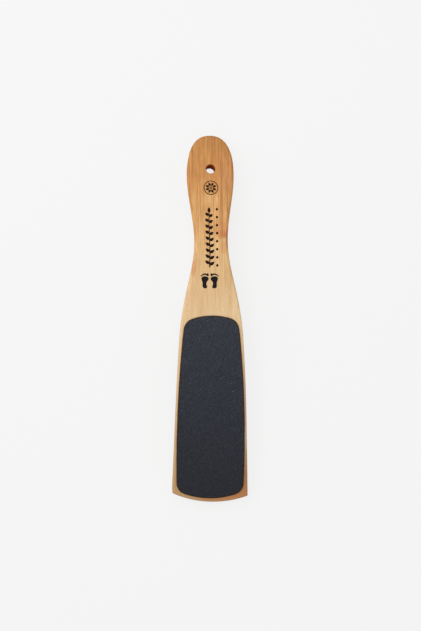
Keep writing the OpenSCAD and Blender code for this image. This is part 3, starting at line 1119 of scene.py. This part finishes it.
def seen_directly(g):
    """1 for a ray from the camera, or one that a mirror or glass sends on, else 0."""
    path = g.add("ShaderNodeLightPath").outputs
    either = g.math("MAXIMUM", path["Is Camera Ray"], path["Is Glossy Ray"])
    return g.math("MAXIMUM", either, path["Is Transmission Ray"])


def floor_material():
    """Pale paint. For the camera a share of it glows, which leaves only a faint shadow, and far
    from the object all of it does, so that no edge shows against the backdrop."""
    g = Graph(bpy.data.materials.new("floor_paint"))
    place = g.add("ShaderNodeTexCoord").outputs["Object"]
    cloud = g.noise(place, FLOOR_PATCHES, detail=1.0)
    low, high = FLOOR_LEVEL * FLOOR_DULLED, FLOOR_LEVEL
    colour = g.mix(cloud, (low, low, low, 1), (high, high, high, 1))
    paint = g.add("ShaderNodeBsdfDiffuse", {"Color": colour}).outputs[0]
    glow = g.add("ShaderNodeEmission", {"Color": colour, "Strength": 1.0}).outputs[0]
    far = g.add("ShaderNodeVectorMath", {0: place}, operation="LENGTH").outputs["Value"]
    more = g.product(g.steps(far, FAR_REACH), 1 - FLOOR_GLOW)
    share = g.product(seen_directly(g), g.math("ADD", FLOOR_GLOW, more))
    both = g.add("ShaderNodeMixShader", {0: share, 1: paint, 2: glow}).outputs[0]
    g.add("ShaderNodeOutputMaterial", {0: both})
    return g.owner


def make_floor():
    half = FLOOR_HALF
    corners = [(-half, -half, 0), (half, -half, 0), (half, half, 0), (-half, half, 0)]
    floor = new_object("floor", corners, [(0, 1, 2, 3)], [floor_material()])


def make_world():
    """Even light from all round; a camera or a mirror sees the pale backdrop instead."""
    world = bpy.data.worlds.new("studio")
    bpy.context.scene.world = world
    g = Graph(world)
    light, backdrop = [g.add("ShaderNodeBackground", {0: (1, 1, 1, 1), 1: level}).outputs[0]
                       for level in (WORLD_LEVEL, FLOOR_LEVEL)]
    both = g.add("ShaderNodeMixShader", {0: seen_directly(g), 1: light, 2: backdrop}).outputs[0]
    g.add("ShaderNodeOutputWorld", {0: both})


def make_key():
    """A softbox that lights the object from the upper left."""
    lamp = bpy.data.lights.new("key", "AREA")
    lamp.shape = "SQUARE"
    lamp.size = KEY_SIZE
    lamp.energy = KEY_POWER
    holder = bpy.data.objects.new("key", lamp)
    holder.location = KEY_PLACE
    holder.rotation_euler = (-Vector(KEY_PLACE)).to_track_quat("-Z", "Y").to_euler()
    bpy.context.scene.collection.objects.link(holder)


# Camera: it stands a little to the left, its focal length is in pixels of the photograph, and
# AIM is where it looks, from the paddle's middle
PHOTO_H_PX = 631
FOCAL_PX = 1053
SENSOR_MM = 36
CAMERA_FAR = 0.75
CAMERA_LEFT_ANGLE = 5
AIM = (-0.52 * MM, 2.08 * MM)


def make_camera():
    data = bpy.data.cameras.new("camera")
    data.sensor_width = SENSOR_MM
    data.lens = FOCAL_PX / PHOTO_H_PX * SENSOR_MM
    camera = bpy.data.objects.new("camera", data)
    middle = Vector(bent(0, LENGTH / 2, 0))
    a = math.radians(CAMERA_LEFT_ANGLE)
    camera.location = middle + Vector((-math.sin(a), 0, math.cos(a))) * CAMERA_FAR
    target = middle + Vector((*AIM, 0))
    look = (target - camera.location).normalized()
    right = look.cross(Vector((0, 1, 0))).normalized()
    up = right.cross(look)
    turn = Matrix((right, up, -look)).transposed().to_4x4()
    camera.matrix_world = Matrix.Translation(camera.location) @ turn
    bpy.context.scene.collection.objects.link(camera)
    bpy.context.scene.camera = camera


make_camera()
make_world()
make_key()
make_floor()
bpy.context.scene.view_settings.view_transform = "Standard"


# Pieces

wood = wood_mesh([wood_material(finish) for finish in FINISHES])
cut_hole(wood)
smooth_shade(wood)
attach(wood, "root")
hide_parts("wooden_body")

paper = backing_material()
film = adhesive_material()
coarse = grit_materials("coarse_grain", srgb(24, 26, 30), srgb(57, 61, 71), cell=0.34)
fine = grit_materials("fine_grain", srgb(34, 35, 38), srgb(66, 68, 73), cell=0.24)
# Spread and wander of the cut edges, where the film stays a little inside
FILM_EDGE = (-0.05 * MM, 0.03 * MM)
PAPER_EDGE = (0.02 * MM, 0.02 * MM)


def dress_sheet(face, sign, grit_t, grit_slot, materials, grain, rough_share, seed):
    """The three layers of one sheet. sign is 1 on the front face and -1 on the rear."""
    glued = HALF_T + GLUE_GAP
    film_top = glued + FILM_T
    paper_top = film_top + BACKING_T
    film_piece = sheet_layer(face + "_adhesive_film", sign * glued, sign * film_top, *FILM_EDGE,
                             seed, film)
    paper_piece = sheet_layer(face + "_backing_paper", sign * film_top, sign * paper_top,
                              *PAPER_EDGE, seed + 1, paper)
    grit_piece = grit_sheet(face + "_grain_coat", sign * paper_top, sign * grit_t, grain,
                            rough_share, seed + 2, materials)
    layers = [
        (film_piece, face + "_adhesive", "adhesive"),
        (paper_piece, face + "_backing", "backing"),
        (grit_piece, face + "_grit", grit_slot),
    ]
    for piece, node, slot in layers:
        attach(piece, "root")
        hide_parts(node)


dress_sheet("front", 1, FRONT_GRIT_T, "coarse_grit", coarse, grain=0.36 * MM, rough_share=0.55,
            seed=11)
dress_sheet("rear", -1, REAR_GRIT_T, "fine_grit", fine, grain=0.42 * MM, rough_share=0.45,
            seed=31)

brown_ink = ink_material("brown_ink", srgb(30, 10, 2), srgb(58, 28, 12))
blue_ink = ink_material("blue_black_ink", srgb(26, 20, 24), srgb(50, 40, 38))
left_foot = footprint(-4.8 * MM, low=21.1 * MM, length=10.8 * MM, mirror=-1)
right_foot = footprint(1.8 * MM, low=21.1 * MM, length=10.8 * MM, mirror=1)
ornaments = [
    ("printed_rosette", rosette(0, cs=93 * MM, radius=5.2 * MM), brown_ink),
    ("printed_sprig", sprig(-1.45 * MM, low=35.9 * MM, high=78.9 * MM, half_w=3.4 * MM), brown_ink),
    ("printed_dots", dot_row(4 * MM), brown_ink),
    ("printed_footprints", left_foot + right_foot, blue_ink),
]
for name, shapes, ink in ornaments:
    piece = ink_piece(name, shapes, ink)
    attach(piece, "root")
